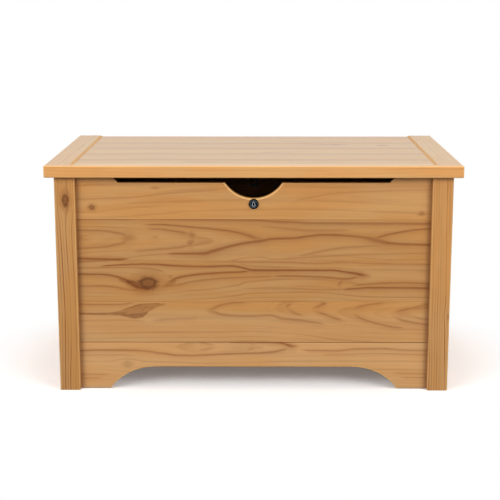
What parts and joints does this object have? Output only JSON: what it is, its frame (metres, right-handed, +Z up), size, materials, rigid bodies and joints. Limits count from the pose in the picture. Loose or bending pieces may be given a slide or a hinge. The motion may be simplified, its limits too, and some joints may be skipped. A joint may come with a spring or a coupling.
{
  "type": "toy chest",
  "caption": "Free-standing pine toy chest with boarded walls between square posts, arched aprons, a finger gap and hand hole, a cam lock and a hinged lid.",
  "frame": {"origin": "on the floor, in the middle of the whole chest's width and depth, hinge barrels included", "axes": "+X to the right as seen from the front, +Y to the back, +Z up"},
  "size_m": [0.9, 0.563, 0.5075],
  "materials": {
    "pine": "satin waxed solid pine",
    "plywood": "plain plywood",
    "beech": "fluted beech dowel, unfinished",
    "hinge_black": "matt black powder coat",
    "lock_black": "satin black",
    "steel": "zinc plated",
    "rubber_pad": "matt",
    "nylon": "plain"
  },
  "bodies": {
    "chest": {"post_front_left": "pine", "post_front_right": "pine", "post_back_left": "pine", "post_back_right": "pine", "front_apron": "pine", "left_apron": "pine", "right_apron": "pine", "back_apron": "pine", "front_board_1": "pine", "front_board_2": "pine", "front_board_3": "pine", "front_board_4": "pine", "left_board_1": "pine", "left_board_2": "pine", "left_board_3": "pine", "left_board_4": "pine", "right_board_1": "pine", "right_board_2": "pine", "right_board_3": "pine", "right_board_4": "pine", "back_board_1": "pine", "back_board_2": "pine", "back_board_3": "pine", "back_rail": "pine", "cleat_front": "pine", "cleat_back": "pine", "cleat_left": "pine", "cleat_right": "pine", "floor_panel": "plywood", "wall_dowels": "beech", "lid_pads": "rubber_pad", "lock_housing": "lock_black", "hinge_left_body_leaf": "hinge_black", "hinge_middle_body_leaf": "hinge_black", "hinge_right_body_leaf": "hinge_black", "hinge_pins": "steel", "cleat_screws": "steel", "hinge_body_screws": "steel", "lock_nut": "steel"},
    "lid": {"lid_front_rail": "pine", "lid_batten_left": "pine", "lid_batten_right": "pine", "lid_board_1": "pine", "lid_board_2": "pine", "lid_board_3": "pine", "lid_board_4": "pine", "lid_board_5": "pine", "lid_back_rail": "pine", "lid_dowels": "beech", "hinge_left_lid_leaf": "hinge_black", "hinge_middle_lid_leaf": "hinge_black", "hinge_right_lid_leaf": "hinge_black", "hinge_sleeves": "nylon", "hinge_lid_screws": "steel", "lock_striker": "lock_black", "striker_screws": "steel"},
    "lock_core": {"lock_plug": "lock_black", "lock_cam": "steel", "lock_cam_screw": "steel"}
  },
  "joints": [
    {"name": "lid_hinge", "type": "hinge", "parent": "chest", "child": "lid", "pos_m": [0, 0.2745, 0.4815], "axis": [-1, 0, 0], "range_deg": [0, 95]},
    {"name": "lock_turn", "type": "hinge", "parent": "chest", "child": "lock_core", "pos_m": [0, -0.251, 0.42], "axis": [0, 1, 0], "range_deg": [0, 90]}
  ]
}
